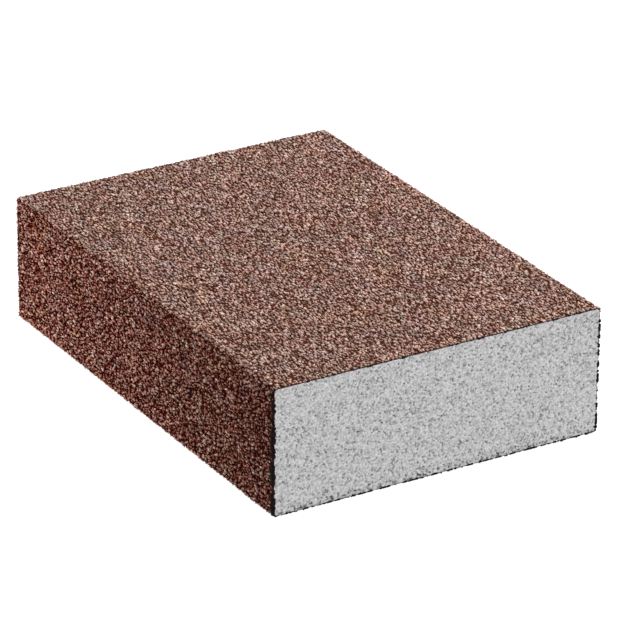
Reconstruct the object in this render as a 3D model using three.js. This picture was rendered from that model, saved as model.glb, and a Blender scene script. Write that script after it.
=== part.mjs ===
// Sanding block: a flexible foam bar with abrasive on its four long faces, which
// wraps round the four long edges, and with bare foam at its two ends.
//
// It is built up in layers, from the inside out:
//   foam_core                       the cut foam bar
//   make_coat_top, _bottom, ...     the dark resin coat that holds the grain to the foam
//   grit_coat_top, _bottom, ...     the abrasive grain, bound together by its size resin
// Each long face is coated on its own, so each layer is four strips, and two strips
// meet in a 45 degree mitre along the middle of each rounded long edge.
//
// Frame, in millimetres: the origin is the middle of the underside, +X is across the
// width, +Y is along the length, and +Z is up through the thickness.

import * as THREE from "three";

// Driving dimensions, measured over the abrasive.
const LENGTH = 98;
const WIDTH = 70;
const HEIGHT = 26;
const EDGE_RADIUS = 1; // outside radius of the four long edges
const GRIT_THICKNESS = 0.45; // one layer of coarse grain in its size resin
const MAKE_THICKNESS = 0.2; // the resin coat between the grain and the foam
const ARC_STEPS = 5; // straight steps in 45 degrees of a rounded edge

// Depths of the layers' boundaries below the outer surface.
const GRIT_FACE = 0;
const GRIT_BACK = GRIT_THICKNESS;
const MAKE_BACK = GRIT_THICKNESS + MAKE_THICKNESS;

// The four long faces, counter-clockwise in the section seen from the -Y end. Face
// number k has its outward normal at k quarter turns from +X, and corner number k lies
// between face k and the next face.
const FACES = ["right", "top", "left", "bottom"];
const QUARTER_TURN = 90;
const MITRE_ANGLE = QUARTER_TURN / 2;

const foamLook = { color: 0xc4c4c2, roughness: 0.95, metalness: 0 };
const makeCoatLook = { color: 0x2a1a15, roughness: 0.7, metalness: 0 };
const gritLook = { color: 0x8a6455, roughness: 0.85, metalness: 0 };

// Centre of the rounded corner number `corner`, in the section.
function cornerCentre(corner) {
  const towards = THREE.MathUtils.degToRad(corner * QUARTER_TURN + MITRE_ANGLE);
  const x = Math.sign(Math.cos(towards)) * (WIDTH / 2 - EDGE_RADIUS);
  const z = HEIGHT / 2 + Math.sign(Math.sin(towards)) * (HEIGHT / 2 - EDGE_RADIUS);
  return new THREE.Vector2(x, z);
}

// Point on a rounded corner at `degrees` from +X, at `depth` below the outer surface.
function cornerPoint(corner, degrees, depth) {
  const angle = THREE.MathUtils.degToRad(degrees);
  const radius = EDGE_RADIUS - depth;
  const fromCentre = new THREE.Vector2(Math.cos(angle), Math.sin(angle));
  return cornerCentre(corner).addScaledVector(fromCentre, radius);
}

// Points on 45 degrees of a rounded corner, from `startDegrees` on.
function halfCorner(corner, startDegrees, depth) {
  const points = [];
  for (let step = 0; step <= ARC_STEPS; step++) {
    const degrees = startDegrees + (MITRE_ANGLE * step) / ARC_STEPS;
    points.push(cornerPoint(corner, degrees, depth));
  }
  return points;
}

// The line that follows face number `face` at `depth`, from mitre to mitre.
function faceLine(face, depth) {
  const previousCorner = (face + FACES.length - 1) % FACES.length;
  const normalDegrees = face * QUARTER_TURN;
  return [
    ...halfCorner(previousCorner, normalDegrees - MITRE_ANGLE, depth),
    ...halfCorner(face, normalDegrees, depth),
  ];
}

// Section of a strip that covers one face between two depths.
function stripSection(face, outerDepth, innerDepth) {
  const outer = faceLine(face, outerDepth);
  const inner = faceLine(face, innerDepth).reverse();
  return new THREE.Shape([...outer, ...inner]);
}

// Section of the foam: a rectangle with rounded corners.
function foamSection() {
  const points = [];
  for (let corner = 0; corner < FACES.length; corner++) {
    const start = corner * QUARTER_TURN;
    const firstHalf = halfCorner(corner, start, MAKE_BACK);
    firstHalf.pop(); // the second half starts with the same point
    points.push(...firstHalf, ...halfCorner(corner, start + MITRE_ANGLE, MAKE_BACK));
  }
  return new THREE.Shape(points);
}

// A named solid that carries a section from one end of the block to the other.
function fullLengthSolid(name, section, look) {
  const geometry = new THREE.ExtrudeGeometry(section, { depth: LENGTH, bevelEnabled: false });
  const solid = new THREE.Mesh(geometry, new THREE.MeshStandardMaterial(look));
  solid.name = name;
  // The section's second axis stands up, and the extrusion runs from +Y to -Y.
  solid.rotation.x = Math.PI / 2;
  solid.position.y = LENGTH / 2;
  return solid;
}

function makeCoat(name, face) {
  const section = stripSection(face, GRIT_BACK, MAKE_BACK);
  return fullLengthSolid(`make_coat_${name}`, section, makeCoatLook);
}

function gritCoat(name, face) {
  const section = stripSection(face, GRIT_FACE, GRIT_BACK);
  return fullLengthSolid(`grit_coat_${name}`, section, gritLook);
}

const sandingBlock = new THREE.Group();
sandingBlock.add(fullLengthSolid("foam_core", foamSection(), foamLook));
FACES.forEach((name, face) => {
  const coatedFace = new THREE.Group();
  coatedFace.add(makeCoat(name, face), gritCoat(name, face));
  sandingBlock.add(coatedFace);
});

export default sandingBlock;
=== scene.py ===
import math

import bpy
import numpy as np
from mathutils import Matrix, Vector
from mathutils.geometry import delaunay_2d_cdt


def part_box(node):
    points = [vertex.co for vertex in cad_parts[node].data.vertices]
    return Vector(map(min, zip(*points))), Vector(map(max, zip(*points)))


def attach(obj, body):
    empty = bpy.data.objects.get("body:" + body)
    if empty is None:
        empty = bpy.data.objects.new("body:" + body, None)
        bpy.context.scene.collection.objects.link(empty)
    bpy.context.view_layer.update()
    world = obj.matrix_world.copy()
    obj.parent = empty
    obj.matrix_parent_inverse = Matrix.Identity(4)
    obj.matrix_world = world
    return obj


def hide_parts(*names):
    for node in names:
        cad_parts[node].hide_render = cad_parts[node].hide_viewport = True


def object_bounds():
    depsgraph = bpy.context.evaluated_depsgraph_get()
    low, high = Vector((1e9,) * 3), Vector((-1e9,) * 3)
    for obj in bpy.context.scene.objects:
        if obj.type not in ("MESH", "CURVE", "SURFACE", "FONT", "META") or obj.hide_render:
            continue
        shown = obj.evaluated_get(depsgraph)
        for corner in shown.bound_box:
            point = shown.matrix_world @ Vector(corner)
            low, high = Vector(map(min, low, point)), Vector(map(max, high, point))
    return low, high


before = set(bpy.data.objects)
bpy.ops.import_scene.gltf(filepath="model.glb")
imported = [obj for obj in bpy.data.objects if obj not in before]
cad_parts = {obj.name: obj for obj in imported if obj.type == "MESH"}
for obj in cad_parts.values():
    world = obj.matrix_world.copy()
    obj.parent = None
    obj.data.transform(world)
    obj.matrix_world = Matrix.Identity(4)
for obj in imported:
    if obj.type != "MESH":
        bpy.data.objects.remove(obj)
CAD_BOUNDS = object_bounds()

# The looks of a foam sanding block. Its four long faces carry one layer of coarse grain, and
# its two ends are bare cut foam. Everything is in metres, in the frame of the CAD model: +X
# across the width, +Y along the length, +Z up, with the origin under the block's middle.

MM = 0.001
UP = np.array((0.0, 0.0, 1.0))
ALONG = np.array((0.0, 1.0, 0.0))
RIGHT = np.array((1.0, 0.0, 0.0))
ROOT_2 = math.sqrt(2)
ROOT_3 = math.sqrt(3)
FULL_TURN = 2 * math.pi

# --- Sizes, read from the CAD model's boxes -------------------------------------------

LOW, HIGH = (np.array(corner) for corner in CAD_BOUNDS)
WIDTH, LENGTH, HEIGHT = HIGH - LOW
MIDDLE = (LOW + HIGH) / 2
LENGTH_ENDS = (LOW[1], HIGH[1])
GRIT_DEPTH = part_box("make_coat_left")[0].x - LOW[0]


def edge_radius():
    """Outer radius of the long edges. A strip's box ends at 45 degrees, on its inner side."""
    low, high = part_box("grit_coat_left")
    strip = high.x - low.x
    return (strip * ROOT_2 - GRIT_DEPTH) / (ROOT_2 - 1)


EDGE_RADIUS = edge_radius()
HALF_ARC = EDGE_RADIUS * math.pi / 4

# --- Driving sizes of the fine detail -------------------------------------------------

GRAIN_PITCH = 0.5 * MM  # across the block
GRAIN_SIZE = 0.34 * MM  # mean distance from a grain's middle to its corners, unstretched
GRAIN_STRETCH = 1.8  # how much longer a grain is along the block than across it
GRAIN_HEIGHT = 1.5  # how much taller it is than wide
GRAIN_STRAY = 0.36  # how far it strays from its place, as a share of the pitch
CORNER_STRAY = 0.35  # how far its corners stray from an octahedron's, as a share of its size
SIZE_SPREAD = 0.2  # standard deviation of the grains' sizes, as a share of the mean
SIZE_LIMITS = (0.55, 1.45)
TIP_SPREAD = 0.5  # share of the grit's depth over which the grains' tips are spread
GAPS = 0.04  # share of the places in a coat that hold no grain

SIZE_RESIN_DEPTH = 0.39 * MM  # how far the size resin lies below the CAD surface
SIZE_RESIN_WAVE = 0.04 * MM  # how much that varies
SIZE_RESIN_WAVELENGTH = 1.0 * MM
MAKE_BED = 0.95 * GRIT_DEPTH  # depth of the make coat's outer side, away from the cut ends
CUT_BACK = 0.07 * MM  # how far the grains and the size resin end short of the cut ends
COAT_END = LENGTH / 2 - CUT_BACK  # distance of their ends from the middle of the block

COARSE_STEP = 0.5 * MM  # of the size resin's mesh and of the foam's outline
FINE_STEP = 0.15 * MM  # of the make coat's mesh
RIM_ROWS = 8  # rows of the make coat's mesh over its creep

FOAM_GAP = 0.01 * MM  # between the grit's inner side and the foam
FOAM_CELL = 0.44 * MM
CELL_STRAY = 0.38  # how far a cell strays from its place, as a share of FOAM_CELL
SHALLOWEST_CELL = 0.06 * MM
CELL_DEPTH_RANGE = 0.6 * MM
DEEP_CELL_RARITY = 6  # the higher, the fewer deep cells
WALL_DEPTH = 0.05 * MM  # most that the walls between the cells lie behind the cut
RING_DEPTH = 0.03 * MM  # how far the foam's outline lies behind the cut
RING_MARGIN = 0.2 * MM  # least distance from a cell to the outline
CORNER_MARGIN = 0.3 * MM  # the same, at the outline's round corners
# The black spots along the foam's lower edge are partly soaked-up resin and partly painted shade.
SOAKED_AND_SHADED_EDGE = 0.4 * MM  # about how high the resin has soaked up from the foam's lower edge
SOAKED_AND_SHADED_SPOT = 0.6 * MM
SOAKED_AND_SHADED_CONTRAST = 2.5  # how sharp the soaked spots' edges are
SOAKED_AND_SHADED_SHARE = 0.6  # how much of the lower edge is soaked, where 0 is half of it
FOAM_SEED = 31
END_UV_HEIGHTS = (0.18, 0.54)  # heights of the two ends' middles in the foam's UV square

# At the cut ends the black make coat shows round the foam, in patches, and stands partly for
# painted shade on the coat's cut section: cover is how much of the rim they take up, lip how
# far below the tips of the grain they end, as a share of the grit's depth, soaked about how far
# they reach into the foam, and creep how far they reach along the block. cut_grain is how light
# a grain looks where it is cut through: partly the lighter colour of fresh-cut grain and partly
# painted light and shade, lit on the top and right rims and shaded on the left and bottom ones.
# FAR_RIM holds the values at the far end.
RIMS = {
    "top": {"cover": 0.0, "lip": 0.6, "soaked": 0.2 * MM, "creep": 0.15 * MM, "cut_grain": 0.85},
    "bottom": {"cover": 0.6, "lip": 0.6, "soaked": 0.2 * MM, "creep": 0.2 * MM, "cut_grain": 0.1},
    "left": {"cover": 1.0, "lip": 0.1, "soaked": 0.33 * MM, "creep": 1.5 * MM, "cut_grain": 0.0},
    "right": {"cover": 0.6, "lip": 0.2, "soaked": 0.2 * MM, "creep": 0.15 * MM, "cut_grain": 0.8},
}
FAR_RIM = {"cover": 0.2, "lip": 0.6, "soaked": 0.2 * MM, "creep": 0.15 * MM, "cut_grain": 0.6}
SMALL_PATCH = 0.7 * MM
LARGE_PATCH = 2.5 * MM
SMALL_SHARE = 0.9  # how strongly the small patches vary the cover
LARGE_SHARE = 0.6  # the same, for the large ones
LEAST_REACH = 0.05  # how far the resin creeps between the patches, as a share of creep
RIM_SLOPE = 3  # the resin slopes down over the last third of its reach
LEAST_SOAKED = 0.1  # how far it soaks in between the patches, as a share of soaked
SOAKED_GAIN = 0.6  # how much more for each unit of the patches' thickness


class CoatedFace:
    """A long face. s is the distance across it, along its surface, from its middle line."""

    def __init__(self, name, out, width, reach, seed):
        self.name = name
        self.out = out
        self.across = np.cross(ALONG, out)
        self.half_flat = width / 2 - EDGE_RADIUS
        self.half_width = self.half_flat + HALF_ARC
        self.reach = reach
        self.seed = seed

    def rim(self, key, y):
        """One of the values of RIMS, at the cut end on the same side as y."""
        return np.where(y < 0, RIMS[self.name][key], FAR_RIM[key])

    def normal(self, s):
        """The outward direction at s, which turns with the surface round the long edges."""
        past_flat = np.maximum(np.abs(s) - self.half_flat, 0)
        angle = (np.sign(s) * past_flat / EDGE_RADIUS)[..., None]
        return np.cos(angle) * self.out + np.sin(angle) * self.across

    def point(self, s, y, depth):
        """The point at s and y, at depth below the CAD surface."""
        flat = np.clip(s, -self.half_flat, self.half_flat)[..., None]
        radius = np.asarray(EDGE_RADIUS - depth)[..., None]
        axis = MIDDLE * (1, 0, 1) + (self.reach - EDGE_RADIUS) * self.out
        return axis + flat * self.across + radius * self.normal(s) + np.asarray(y)[..., None] * ALONG

    def unrolled(self, s, y):
        """s and y as places in the UV square."""
        return np.stack([s / (2 * self.half_width) + 0.5, (y - LOW[1]) / LENGTH], axis=-1)


FACES = [
    CoatedFace("top", UP, WIDTH, HEIGHT / 2, seed=11),
    CoatedFace("bottom", -UP, WIDTH, HEIGHT / 2, seed=12),
    CoatedFace("left", -RIGHT, HEIGHT, WIDTH / 2, seed=13),
    CoatedFace("right", RIGHT, HEIGHT, WIDTH / 2, seed=356),
]
ROUND_THE_SECTION = ("right", "top", "left", "bottom")

# --- Mesh helpers ---------------------------------------------------------------------


def mesh_object(name, points, triangles, uv, values=None):
    """A mesh object from arrays. uv has a row for each point, and values are its attributes."""
    mesh = bpy.data.meshes.new(name)
    mesh.vertices.add(len(points))
    mesh.vertices.foreach_set("co", np.asarray(points, np.float32).ravel())
    mesh.loops.add(triangles.size)
    mesh.loops.foreach_set("vertex_index", triangles.astype(np.int32).ravel())
    mesh.polygons.add(len(triangles))
    mesh.polygons.foreach_set("loop_start", np.arange(0, triangles.size, 3, dtype=np.int32))
    mesh.update(calc_edges=True)
    layer = mesh.uv_layers.new(name="OFBake")
    layer.uv.foreach_set("vector", uv[triangles.ravel()].astype(np.float32).ravel())
    for key, numbers in (values or {}).items():
        attribute = mesh.attributes.new(key, "FLOAT", "POINT")
        attribute.data.foreach_set("value", np.asarray(numbers, np.float32))
    piece = bpy.data.objects.new(name, mesh)
    bpy.context.scene.collection.objects.link(piece)
    return piece


def grid_triangles(rows, columns):
    """Triangles between the points of a grid, which are numbered row by row."""
    row, column = np.mgrid[0:rows - 1, 0:columns - 1]
    a = (row * columns + column).ravel()
    b, c, d = a + 1, a + columns + 1, a + columns
    return np.concatenate([np.c_[a, b, c], np.c_[a, c, d]])


def rim_indices(rows, columns):
    """The points round the rim of a grid, in order."""
    first = np.arange(columns)
    right = np.arange(1, rows) * columns + columns - 1
    last = (rows - 1) * columns + np.arange(columns - 2, -1, -1)
    left = np.arange(rows - 2, 0, -1) * columns
    return np.concatenate([first, right, last, left])


def steps(half, pitch):
    """Even steps from -half to half, about a pitch apart."""
    return np.linspace(-half, half, int(2 * half / pitch) + 1)


def loose_lattice(rng, width, length, pitch, stray):
    """Points of a hexagonal lattice over width by length, each shifted at random."""
    rows = int(length / (pitch * ROOT_3 / 2))
    columns = int(width / pitch)
    row, column = np.mgrid[0:rows, 0:columns]
    x = (column + 0.25 + 0.5 * (row % 2)) * width / columns - width / 2
    y = (row + 0.5) * length / rows - length / 2
    shift = rng.uniform(-stray, stray, (2, x.size)) * pitch
    return x.ravel() + shift[0], y.ravel() + shift[1]


def ripple(rng, scale, count=24):
    """A smooth random function of two distances, from about -1 to 1.

    It is a sum of count waves in random directions, from 0.7 to 2.2 times scale long.
    """
    direction = rng.uniform(0, FULL_TURN, count)
    wave = FULL_TURN / (scale * rng.uniform(0.7, 2.2, count))
    phase = rng.uniform(0, FULL_TURN, count)

    def at(s, y):
        total = 0
        for turn, number, offset in zip(direction, wave, phase):
            total = total + np.sin(number * (s * math.cos(turn) + y * math.sin(turn)) + offset)
        return total / math.sqrt(count)

    return at


def random_turns(rng, count):
    """Random rotation matrices, made from quaternions."""
    w, x, y, z = rng.normal(size=(4, count)) + 1e-9  # so that no quaternion is zero
    size = np.sqrt(w * w + x * x + y * y + z * z)
    w, x, y, z = w / size, x / size, y / size, z / size
    rows = [
        [1 - 2 * (y * y + z * z), 2 * (x * y - w * z), 2 * (x * z + w * y)],
        [2 * (x * y + w * z), 1 - 2 * (x * x + z * z), 2 * (y * z - w * x)],
        [2 * (x * z - w * y), 2 * (y * z + w * x), 1 - 2 * (x * x + y * y)],
    ]
    return np.moveaxis(np.array(rows), 2, 0)


# --- Abrasive grain -------------------------------------------------------------------

OCTAHEDRON = np.array([(1, 0, 0), (-1, 0, 0), (0, 1, 0), (0, -1, 0), (0, 0, 1), (0, 0, -1)])
OCTAHEDRON_SIDES = np.array([
    (0, 2, 4), (2, 1, 4), (1, 3, 4), (3, 0, 4), (2, 0, 5), (1, 2, 5), (3, 1, 5), (0, 3, 5),
])


def crushed_grains(rng, count):
    """Corners of count sharp grains about the origin, of mean radius 1, that stand upright."""
    corners = OCTAHEDRON + rng.uniform(-CORNER_STRAY, CORNER_STRAY, (count, *OCTAHEDRON.shape))
    size = np.clip(rng.normal(1, SIZE_SPREAD, (count, 1, 1)), *SIZE_LIMITS)
    grains = np.einsum("gij,gkj->gki", random_turns(rng, count), corners * size)
    return grains * (1, 1, GRAIN_HEIGHT)


def scattered_grains(rng, face):
    """How far across a face, how far along it and how deep the corners of its grains lie."""
    s, y = loose_lattice(
        rng, 2 * face.half_width, LENGTH / GRAIN_STRETCH, GRAIN_PITCH, GRAIN_STRAY
    )
    held = rng.uniform(size=s.size) > GAPS
    s, y = s[held, None], GRAIN_STRETCH * y[held, None]
    shape = crushed_grains(rng, s.size) * GRAIN_SIZE
    across = s + shape[..., 0]
    along = np.clip(y + GRAIN_STRETCH * shape[..., 1], -COAT_END, COAT_END)
    tip = rng.uniform(0, TIP_SPREAD, s.shape) * GRIT_DEPTH
    below_tip = shape[..., 2].max(axis=1, keepdims=True) - shape[..., 2]
    return across, along, np.clip(tip + below_tip, 0, GRIT_DEPTH)


def grit(face):
    """The grains of one coated face, half sunk in the resin, as separate closed solids."""
    rng = np.random.default_rng(face.seed)
    across, along, depth = scattered_grains(rng, face)
    count, corners = depth.shape
    first = np.arange(count)[:, None, None] * corners
    triangles = (first + OCTAHEDRON_SIDES).reshape(-1, 3)
    deepest_first = np.argsort(-depth.ravel()[triangles].sum(axis=1))
    uncut = np.abs(along) < COAT_END
    values = {
        # height sets the painted shade between the grains; at the cut ends it is the rim's
        # cut_grain.
        "height": np.where(uncut, 1 - depth / GRIT_DEPTH, face.rim("cut_grain", along)),
        "grain": np.broadcast_to(rng.uniform(0, 1, (count, 1)), depth.shape),
        "shade": np.broadcast_to(rng.uniform(0, 1, (count, 1)), depth.shape),
    }
    return mesh_object(
        f"grit_{face.name}",
        face.point(across, along, depth).reshape(-1, 3),
        triangles[deepest_first],
        face.unrolled(across, along).reshape(-1, 2).clip(0, 1),
        {key: value.ravel() for key, value in values.items()},
    )


# --- Resin strips: the size resin between the grains, and the make coat under it --------


def strip_between(name, face, outer, inner, s, y):
    """A closed strip between two depths, which are functions of s and y, along a face."""
    ss, yy = np.meshgrid(s, y)
    sides = [face.point(ss, yy, depth(ss, yy)).reshape(-1, 3) for depth in (outer, inner)]
    front = grid_triangles(len(y), len(s))
    back = front[:, ::-1] + ss.size
    rim = rim_indices(len(y), len(s))
    following = np.roll(rim, -1)
    walls = np.concatenate([
        np.c_[following, rim, rim + ss.size],
        np.c_[following, rim + ss.size, following + ss.size],
    ])
    lower_half = face.unrolled(ss.ravel(), yy.ravel()) * (1, 0.5)
    uv = np.concatenate([lower_half, lower_half + (0, 0.5)])
    return mesh_object(name, np.concatenate(sides), np.concatenate([front, walls, back]), uv)


def size_resin(face):
    """The resin that fills the gaps between the grains."""
    waves = ripple(np.random.default_rng(face.seed + 100), SIZE_RESIN_WAVELENGTH)
    return strip_between(
        f"size_resin_{face.name}", face,
        outer=lambda s, y: SIZE_RESIN_DEPTH + SIZE_RESIN_WAVE * waves(s, y),
        inner=lambda s, y: np.full_like(s, GRIT_DEPTH),
        s=steps(face.half_width, COARSE_STEP), y=steps(COAT_END, 2 * COARSE_STEP),
    )


def make_coat(face):
    """The dark resin under the grains. At the cut ends it rises in patches over their section,
    which also stand for painted shade on that section.
    """
    rng = np.random.default_rng(face.seed + 200)
    small, large = ripple(rng, SMALL_PATCH), ripple(rng, LARGE_PATCH)
    near, far = (face.rim("creep", end) * np.linspace(0, 1, RIM_ROWS) for end in LENGTH_ENDS)
    between = steps(LENGTH / 2 - 5 * MM, 10 * MM)  # a few rows are enough away from the ends

    def patches(s, y):
        """How thick the resin stands, from 0 between the patches to 2 in their middles."""
        waves = SMALL_SHARE * small(s, y) + LARGE_SHARE * large(s, y)
        return np.clip(face.rim("cover", y) + waves, 0, 2)

    def outer(s, y):
        """The resin stands at the lip over most of its reach, and then slopes down to the bed."""
        reach = face.rim("creep", y) * np.clip(patches(s, y) / 2, LEAST_REACH, 1)
        rise = np.clip(RIM_SLOPE * (1 - (LENGTH / 2 - np.abs(y)) / reach), 0, 1)
        lip = face.rim("lip", y) * GRIT_DEPTH
        return MAKE_BED + (lip - MAKE_BED) * rise * np.clip(patches(s, y), 0, 1)

    def inner(s, y):
        soaked = LEAST_SOAKED + SOAKED_GAIN * patches(s, y)
        return GRIT_DEPTH + face.rim("soaked", y) * soaked

    return strip_between(
        f"make_{face.name}", face, outer, inner, s=steps(face.half_width, FINE_STEP),
        y=np.concatenate([LOW[1] + near, between, HIGH[1] - far[::-1]]),
    )


# --- Foam -------------------------------------------------------------------------------


def foam_outline(depth, spacing):
    """Points round the foam's section, x and z about its middle, counter-clockwise."""
    faces = {face.name: face for face in FACES}
    points = []
    for name in ROUND_THE_SECTION:
        s = steps(faces[name].half_width, spacing)[::-1]
        section = faces[name].point(s, np.zeros_like(s), np.full_like(s, depth)) - MIDDLE
        points.append(section[:-1, ::2])  # the next face starts with this one's last point
    return np.concatenate(points)


def flat_triangles(points, ring=()):
    """Delaunay triangles between flat points. A ring of edges, if given, bounds them."""
    inside_only = 1 if ring else 0
    flat = [Vector(point) for point in points]
    found, _, faces, *_ = delaunay_2d_cdt(flat, [*ring], [], inside_only, 1e-8)
    if len(found) != len(points):
        raise ValueError("two points of the cut foam coincide")
    return np.array(faces)


def well_inside(points, half):
    """Which of the points lie clear of the foam's outline, in a box from -half to half."""
    inside = (np.abs(points) < half - RING_MARGIN).all(axis=1)
    past_centre = np.maximum(np.abs(points) - (half - EDGE_RADIUS), 0)
    return inside & (np.hypot(*past_centre.T) < EDGE_RADIUS - CORNER_MARGIN)


def soaked_resin_and_shade(rng, points, half):
    """How black the foam is at each point, from 0 to 1, in its lower edge: partly soaked-up resin
    and partly painted shade.
    """
    spots = SOAKED_AND_SHADED_CONTRAST * ripple(rng, SOAKED_AND_SHADED_SPOT)(*points.T) + SOAKED_AND_SHADED_SHARE
    above_bottom = points[:, 1] + half[1]
    return np.clip(spots - above_bottom / SOAKED_AND_SHADED_EDGE, 0, 1)


def cut_cells(rng, outline):
    """Cells cut open on a foam end: flat points, triangles, and each point's depth and resin."""
    half = outline.max(axis=0)
    cells = np.stack(loose_lattice(rng, 2 * half[0], 2 * half[1], FOAM_CELL, CELL_STRAY), axis=1)
    walls = cells[flat_triangles(cells)].mean(axis=1)
    deep = rng.uniform(0, 1, len(cells)) ** DEEP_CELL_RARITY
    depth_of_cells = SHALLOWEST_CELL + CELL_DEPTH_RANGE * deep
    depth_of_walls = rng.uniform(0, WALL_DEPTH, len(walls))
    loose = np.concatenate([cells, walls])
    depth = np.concatenate([depth_of_cells, depth_of_walls])
    resin = soaked_resin_and_shade(rng, loose, half)
    inside = well_inside(loose, half)
    points = np.concatenate([outline, loose[inside]])
    depth = np.concatenate([np.full(len(outline), RING_DEPTH), depth[inside]])
    resin = np.concatenate([np.zeros(len(outline)), resin[inside]])
    ring = [(i, (i + 1) % len(outline)) for i in range(len(outline))]
    return points, flat_triangles(points, ring), depth, resin


def foam():
    """The foam bar, closed, with the cells that the cut opened at both its ends."""
    outline = foam_outline(GRIT_DEPTH + FOAM_GAP, COARSE_STEP)
    points, triangles, uv, depths, resins = [], [], [], [], []
    start = 0
    for end, y, uv_height in zip((-1, 1), LENGTH_ENDS, END_UV_HEIGHTS):
        flat, faces, depth, resin = cut_cells(np.random.default_rng(FOAM_SEED + end), outline)
        points.append(np.c_[flat[:, 0] + MIDDLE[0], y - end * depth, flat[:, 1] + MIDDLE[2]])
        triangles.append(start + (faces if end < 0 else faces[:, ::-1]))
        uv.append(flat / WIDTH + (0.5, uv_height))
        depths.append(depth)
        resins.append(resin)
        start += len(flat)
    near = np.arange(len(outline))  # the outline comes first among the points of each end
    far = near + len(points[0])
    following = np.roll(near, -1)
    triangles.append(np.c_[near, far, following])
    triangles.append(np.c_[following, far, np.roll(far, -1)])
    values = {"depth": np.concatenate(depths), "resin": np.concatenate(resins)}
    return mesh_object(
        "foam", np.concatenate(points), np.concatenate(triangles), np.concatenate(uv), values
    )


# --- Materials ------------------------------------------------------------------------

WHITE = (1.0, 1.0, 1.0)

# Grain colours at four heights, from the bottom of a gap to the tips, on the two wide faces and
# on the two sides. Their darkening towards the bottom of the gaps is partly the resin there and
# partly painted shade between the grains. The sides' colours are a darker, redder copy of the
# wide faces', painted shade for the dimmer sides.
SHADE_HEIGHTS = (0.1, 0.35, 0.6, 0.9)
GRAIN_COLOURS_AND_PAINTED_SHADE = {
    "wide": [
        (0.075, 0.018, 0.008),
        (0.207, 0.103, 0.077),
        (0.265, 0.165, 0.132),
        (0.293, 0.216, 0.19),
    ],
    "side": [
        (0.026, 0.0003, 0.0001),
        (0.102, 0.025, 0.0145),
        (0.192, 0.089, 0.066),
        (0.29, 0.213, 0.184),
    ],
}
GRAIN_GLOSS = {"wide": 0.14, "side": 0.015}
RESIN_GLOSS = 0.01

# What the colour of a grain is multiplied by, from the darkest grain to the lightest.
GRAIN_LIGHTNESS = [
    (0.0, (0.58, 0.54, 0.52)),
    (0.25, (0.9, 0.89, 0.88)),
    (0.8, (1.1, 1.12, 1.13)),
    (1.0, (1.22, 1.31, 1.35)),
]

# The foam's greys against noise, and the painted shade in a cell: what they are multiplied by
# there, against its depth as a share of OPEN_CELL.
FOAM_SPECKLE = [(0.3, 0.3), (0.5, 0.455), (0.7, 0.58)]
OPEN_CELL = 0.5 * MM
PAINTED_CELL_SHADE = [(0.0, 1.0), (0.4, 0.85), (0.7, 0.5), (1.0, 0.12)]


class Nodes:
    """A material's node tree, with short ways to add and join its nodes."""

    def __init__(self, name):
        self.material = bpy.data.materials.new(name)
        self.material.use_nodes = True
        self.tree = self.material.node_tree
        self.shader = self.tree.nodes["Principled BSDF"]

    def add(self, kind, inputs=None, **settings):
        node = self.tree.nodes.new(kind)
        for key, value in settings.items():
            setattr(node, key, value)
        for key, value in (inputs or {}).items():
            self.put(node.inputs[key], value)
        return node

    def put(self, socket, value):
        """Sets an input, or links it when value is another node's output."""
        if isinstance(value, bpy.types.NodeSocket):
            self.tree.links.new(value, socket)
        else:
            socket.default_value = value

    def shade(self, inputs):
        """Sets or links inputs of the material's shader."""
        for key, value in inputs.items():
            self.put(self.shader.inputs[key], value)

    def attribute(self, name):
        return self.add("ShaderNodeAttribute", attribute_name=name).outputs["Fac"]

    def noise(self, scale, detail=3.0, stretch=1.0, shift=0.0):
        """Noise in the object's space, in spots to the metre, stretched along the block."""
        place = self.add("ShaderNodeTexCoord").outputs["Object"]
        squeeze = {0: place, 1: (1.0, 1.0 / stretch, 1.0)}
        squeezed = self.add("ShaderNodeVectorMath", squeeze, operation="MULTIPLY")
        move = {0: squeezed.outputs[0], 1: (shift, shift, shift)}
        moved = self.add("ShaderNodeVectorMath", move, operation="ADD")
        inputs = {"Vector": moved.outputs[0], "Scale": scale, "Detail": detail}
        return self.add("ShaderNodeTexNoise", inputs).outputs["Fac"]

    def ramp(self, value, stops):
        """A colour ramp. stops are (position, colour) or (position, grey) pairs."""
        node = self.add("ShaderNodeValToRGB", {"Fac": value})
        elements = node.color_ramp.elements
        while len(elements) < len(stops):
            elements.new(0.5)
        for element, (position, colour) in zip(elements, stops):
            element.position = position
            element.color = (*np.broadcast_to(colour, 3), 1)
        return node.outputs["Color"]

    def blotches(self, scale, width, low, high, detail=2.0, shift=0.0):
        """Soft blotches of the factors low and high. The larger width is, the fainter they are."""
        noise = self.noise(scale, detail, GRAIN_STRETCH, shift)
        return self.ramp(noise, [(0.5 - width, low), (0.5, WHITE), (0.5 + width, high)])

    def mix(self, factor, first, second, blend="MIX"):
        node = self.add("ShaderNodeMix", data_type="RGBA", blend_type=blend)
        sockets = (node.inputs[0], node.inputs[6], node.inputs[7])
        for socket, value in zip(sockets, (factor, first, second)):
            self.put(socket, value)
        return node.outputs[2]

    def spread(self, value, low, high, to_low=0.0, to_high=1.0):
        """value, stretched from low..high to to_low..to_high."""
        inputs = {
            "Value": value, "From Min": low, "From Max": high, "To Min": to_low, "To Max": to_high,
        }
        return self.add("ShaderNodeMapRange", inputs).outputs["Result"]


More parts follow.
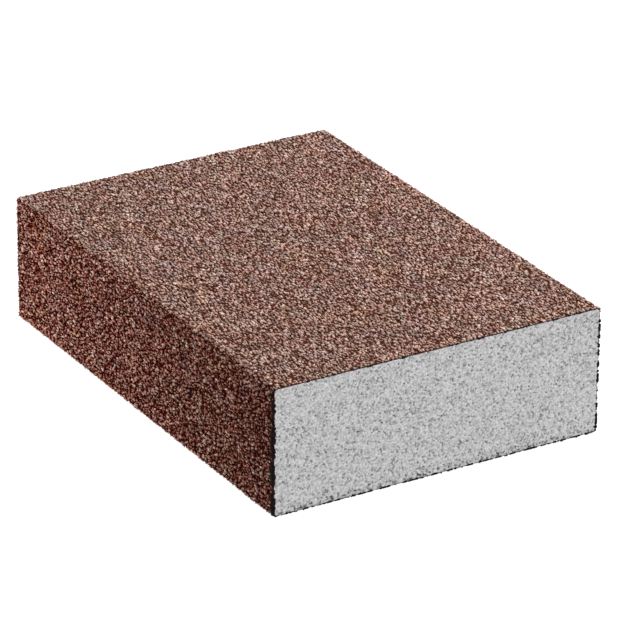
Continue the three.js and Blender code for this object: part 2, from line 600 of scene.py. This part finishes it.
def grain_material(kind):
    """Brown aluminium oxide under its size resin: dark red in the gaps, partly resin and partly
    painted shade, and pale at the tips.
    """
    nodes = Nodes(f"{kind}_grain")
    heights = list(zip(SHADE_HEIGHTS, GRAIN_COLOURS_AND_PAINTED_SHADE[kind]))
    colour = nodes.ramp(nodes.attribute("height"), heights)
    factors = [
        nodes.ramp(nodes.attribute("grain"), GRAIN_LIGHTNESS),
        nodes.blotches(750.0, 0.2, (0.7, 0.68, 0.68), (1.29, 1.34, 1.36), detail=1.0, shift=0.3),
        nodes.blotches(240.0, 0.14, (0.965, 1.03, 1.025), (1.035, 0.945, 0.93)),
        nodes.blotches(200.0, 0.14, (0.99, 1.0, 1.07), (1.01, 1.0, 0.925), shift=0.7),
    ]
    for factor in factors:
        colour = nodes.mix(1.0, factor, colour, "MULTIPLY")
    roughness = nodes.spread(nodes.attribute("shade"), 0, 1, 0.35, 0.65)
    gloss = GRAIN_GLOSS[kind]
    nodes.shade({"Base Color": colour, "Roughness": roughness, "Specular IOR Level": gloss})
    return nodes.material


def resin_material(name, colour, lighter):
    """Dull resin of one colour, with spots of a lighter one."""
    nodes = Nodes(name)
    spots = nodes.spread(nodes.noise(2200.0), 0.4, 0.7)
    spotted = nodes.mix(spots, (*colour, 1), (*lighter, 1))
    roughness = nodes.spread(nodes.noise(900.0), 0.3, 0.7, 0.6, 0.9)
    nodes.shade({"Base Color": spotted, "Roughness": roughness, "Specular IOR Level": RESIN_GLOSS})
    return nodes.material


def size_resin_material(kind):
    """The resin in the gaps, in darker shades of the colour at the bottom of the grain. Its
    darkness is partly the resin's own and partly painted shade in the gaps.
    """
    deep = np.array(GRAIN_COLOURS_AND_PAINTED_SHADE[kind][0])
    return resin_material(f"{kind}_size_resin", 0.3 * deep, 0.9 * deep)


def foam_material():
    """Light grey foam, with painted shade in its open cells, and black along its lower edge, partly
    soaked-up resin and partly painted shade.
    """
    nodes = Nodes("grey_foam")
    speckle = nodes.ramp(nodes.noise(2600.0, detail=1.0), FOAM_SPECKLE)
    # Painted shade in the cells, darker the deeper they are.
    cells = nodes.ramp(nodes.spread(nodes.attribute("depth"), 0.0, OPEN_CELL), PAINTED_CELL_SHADE)
    bare = nodes.mix(1.0, speckle, cells, "MULTIPLY")
    # Black along the lower edge: partly soaked-up resin, partly painted shade.
    soaked = nodes.mix(nodes.attribute("resin"), bare, (0.02, 0.018, 0.016, 1))
    nodes.shade({"Base Color": soaked, "Roughness": 0.9})
    return nodes.material


# --- Assembly ---------------------------------------------------------------------------


def place(piece, material, slot, *nodes):
    """Gives a piece its material and its body, and hides the CAD nodes that it stands for."""
    piece.data.materials.append(material)
    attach(piece, "root")
    if nodes:
        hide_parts(*nodes)
    return piece


def build_block():
    coats = {kind: (grain_material(kind), size_resin_material(kind)) for kind in GRAIN_COLOURS_AND_PAINTED_SHADE}
    dark_resin = resin_material("make_resin", (0.006, 0.005, 0.005), (0.02, 0.012, 0.01))
    for face in FACES:
        # The sides take the darker, redder copy of the grain colours, which is painted shade.
        grains, size_coat = coats["side" if face.name in ("left", "right") else "wide"]
        place(grit(face), grains, "grit", f"grit_coat_{face.name}")
        place(size_resin(face), size_coat, "grit")
        place(make_coat(face), dark_resin, "make_coat", f"make_coat_{face.name}")
    core = place(foam(), foam_material(), "foam", "foam_core")


# --- Studio -----------------------------------------------------------------------------

CAMERA_AZIMUTH = math.radians(-31.15)
CAMERA_ELEVATION = math.radians(24.94)
CAMERA_ROLL = math.radians(0.58)
CAMERA_DISTANCE = 0.859
CAMERA_LENS_MM = 255.6
CAMERA_SENSOR_MM = 36.0
CAMERA_ASIDE = 3.66 * MM
CAMERA_ABOVE = -1.46 * MM

FLOOR_HALF = 3.0
FLOOR_GREY = 0.1

# The dome is brightest in one direction, and dims evenly to where the cosine of the angle
# from that direction is DOME_EDGE.
DOME_BRIGHT_SIDE = (0.6, 0.1, 0.79)
DOME_BRIGHTEST = 2.18
DOME_DIMMEST = 0.34
DOME_EDGE = -0.2

LIGHTS = {
    "key": {"position": (0.3, 0.03, 0.36), "size": 0.3, "power": 3.35},
    "side": {"position": (-0.12, 0.045, 0.015), "size": 0.03, "power": 0.14},
}


def add_camera():
    """A long lens, aimed a little to the right of and below the block's middle."""
    flat = math.cos(CAMERA_ELEVATION)
    back = Vector((
        math.sin(CAMERA_AZIMUTH) * flat,
        -math.cos(CAMERA_AZIMUTH) * flat,
        math.sin(CAMERA_ELEVATION),
    ))
    level = Vector(UP).cross(back).normalized()
    across = Matrix.Rotation(CAMERA_ROLL, 3, back) @ level
    upward = back.cross(across)
    target = Vector(MIDDLE) + CAMERA_ASIDE * across + CAMERA_ABOVE * upward
    data = bpy.data.cameras.new("camera")
    data.sensor_width = CAMERA_SENSOR_MM
    data.lens = CAMERA_LENS_MM
    data.clip_start = 0.01
    data.clip_end = 20.0
    camera = bpy.data.objects.new("camera", data)
    rotation = Matrix((across, upward, back)).transposed().to_4x4()
    camera.matrix_world = Matrix.Translation(target + CAMERA_DISTANCE * back) @ rotation
    bpy.context.scene.collection.objects.link(camera)
    bpy.context.scene.camera = camera


def add_floor():
    """A plain pale light table that the block lies on."""
    corners = [
        (x * FLOOR_HALF, y * FLOOR_HALF, LOW[2]) for x, y in ((-1, -1), (1, -1), (1, 1), (-1, 1))
    ]
    mesh = bpy.data.meshes.new("floor")
    mesh.from_pydata(corners, [], [(0, 1, 2, 3)])
    nodes = Nodes("floor")
    nodes.shade({
        "Base Color": (FLOOR_GREY, FLOOR_GREY, FLOOR_GREY, 1),
        "Roughness": 1.0,
        "Specular IOR Level": 0.0,
        "Emission Color": (*WHITE, 1),
        "Emission Strength": 1.0,
    })
    mesh.materials.append(nodes.material)
    floor = bpy.data.objects.new("floor", mesh)
    bpy.context.scene.collection.objects.link(floor)


def add_light(name, position, size, power):
    """A square soft light, aimed at the block."""
    data = bpy.data.lights.new(name, "AREA")
    data.size = size
    data.energy = power
    light = bpy.data.objects.new(name, data)
    light.visible_camera = False
    light.location = position
    light.rotation_mode = "QUATERNION"
    light.rotation_quaternion = (Vector(position) - Vector(MIDDLE)).to_track_quat("Z", "Y")
    bpy.context.scene.collection.objects.link(light)


def add_dome():
    """Soft light from all round, brighter from above and from the right, plain white to the eye."""
    world = bpy.data.worlds.new("studio")
    world.use_nodes = True
    tree = world.node_tree
    background = tree.nodes["Background"]
    direction = tree.nodes.new("ShaderNodeTexCoord").outputs["Generated"]
    along = tree.nodes.new("ShaderNodeVectorMath")
    along.operation = "DOT_PRODUCT"
    along.inputs[1].default_value = Vector(DOME_BRIGHT_SIDE).normalized()
    tree.links.new(direction, along.inputs[0])
    brightness = tree.nodes.new("ShaderNodeMapRange")
    brightness.inputs["From Min"].default_value = DOME_EDGE
    brightness.inputs["To Min"].default_value = DOME_DIMMEST
    brightness.inputs["To Max"].default_value = DOME_BRIGHTEST
    tree.links.new(along.outputs["Value"], brightness.inputs["Value"])
    seen = tree.nodes.new("ShaderNodeLightPath").outputs["Is Camera Ray"]
    strength = tree.nodes.new("ShaderNodeMix")
    tree.links.new(seen, strength.inputs[0])
    tree.links.new(brightness.outputs["Result"], strength.inputs[2])
    strength.inputs[3].default_value = 1.0
    tree.links.new(strength.outputs[0], background.inputs["Strength"])
    background.inputs["Color"].default_value = (*WHITE, 1)
    bpy.context.scene.world = world


def add_studio():
    bpy.context.scene.view_settings.view_transform = "Standard"
    add_dome()
    for name, light in LIGHTS.items():
        add_light(name, **light)


build_block()
add_camera()
add_floor()
add_studio()
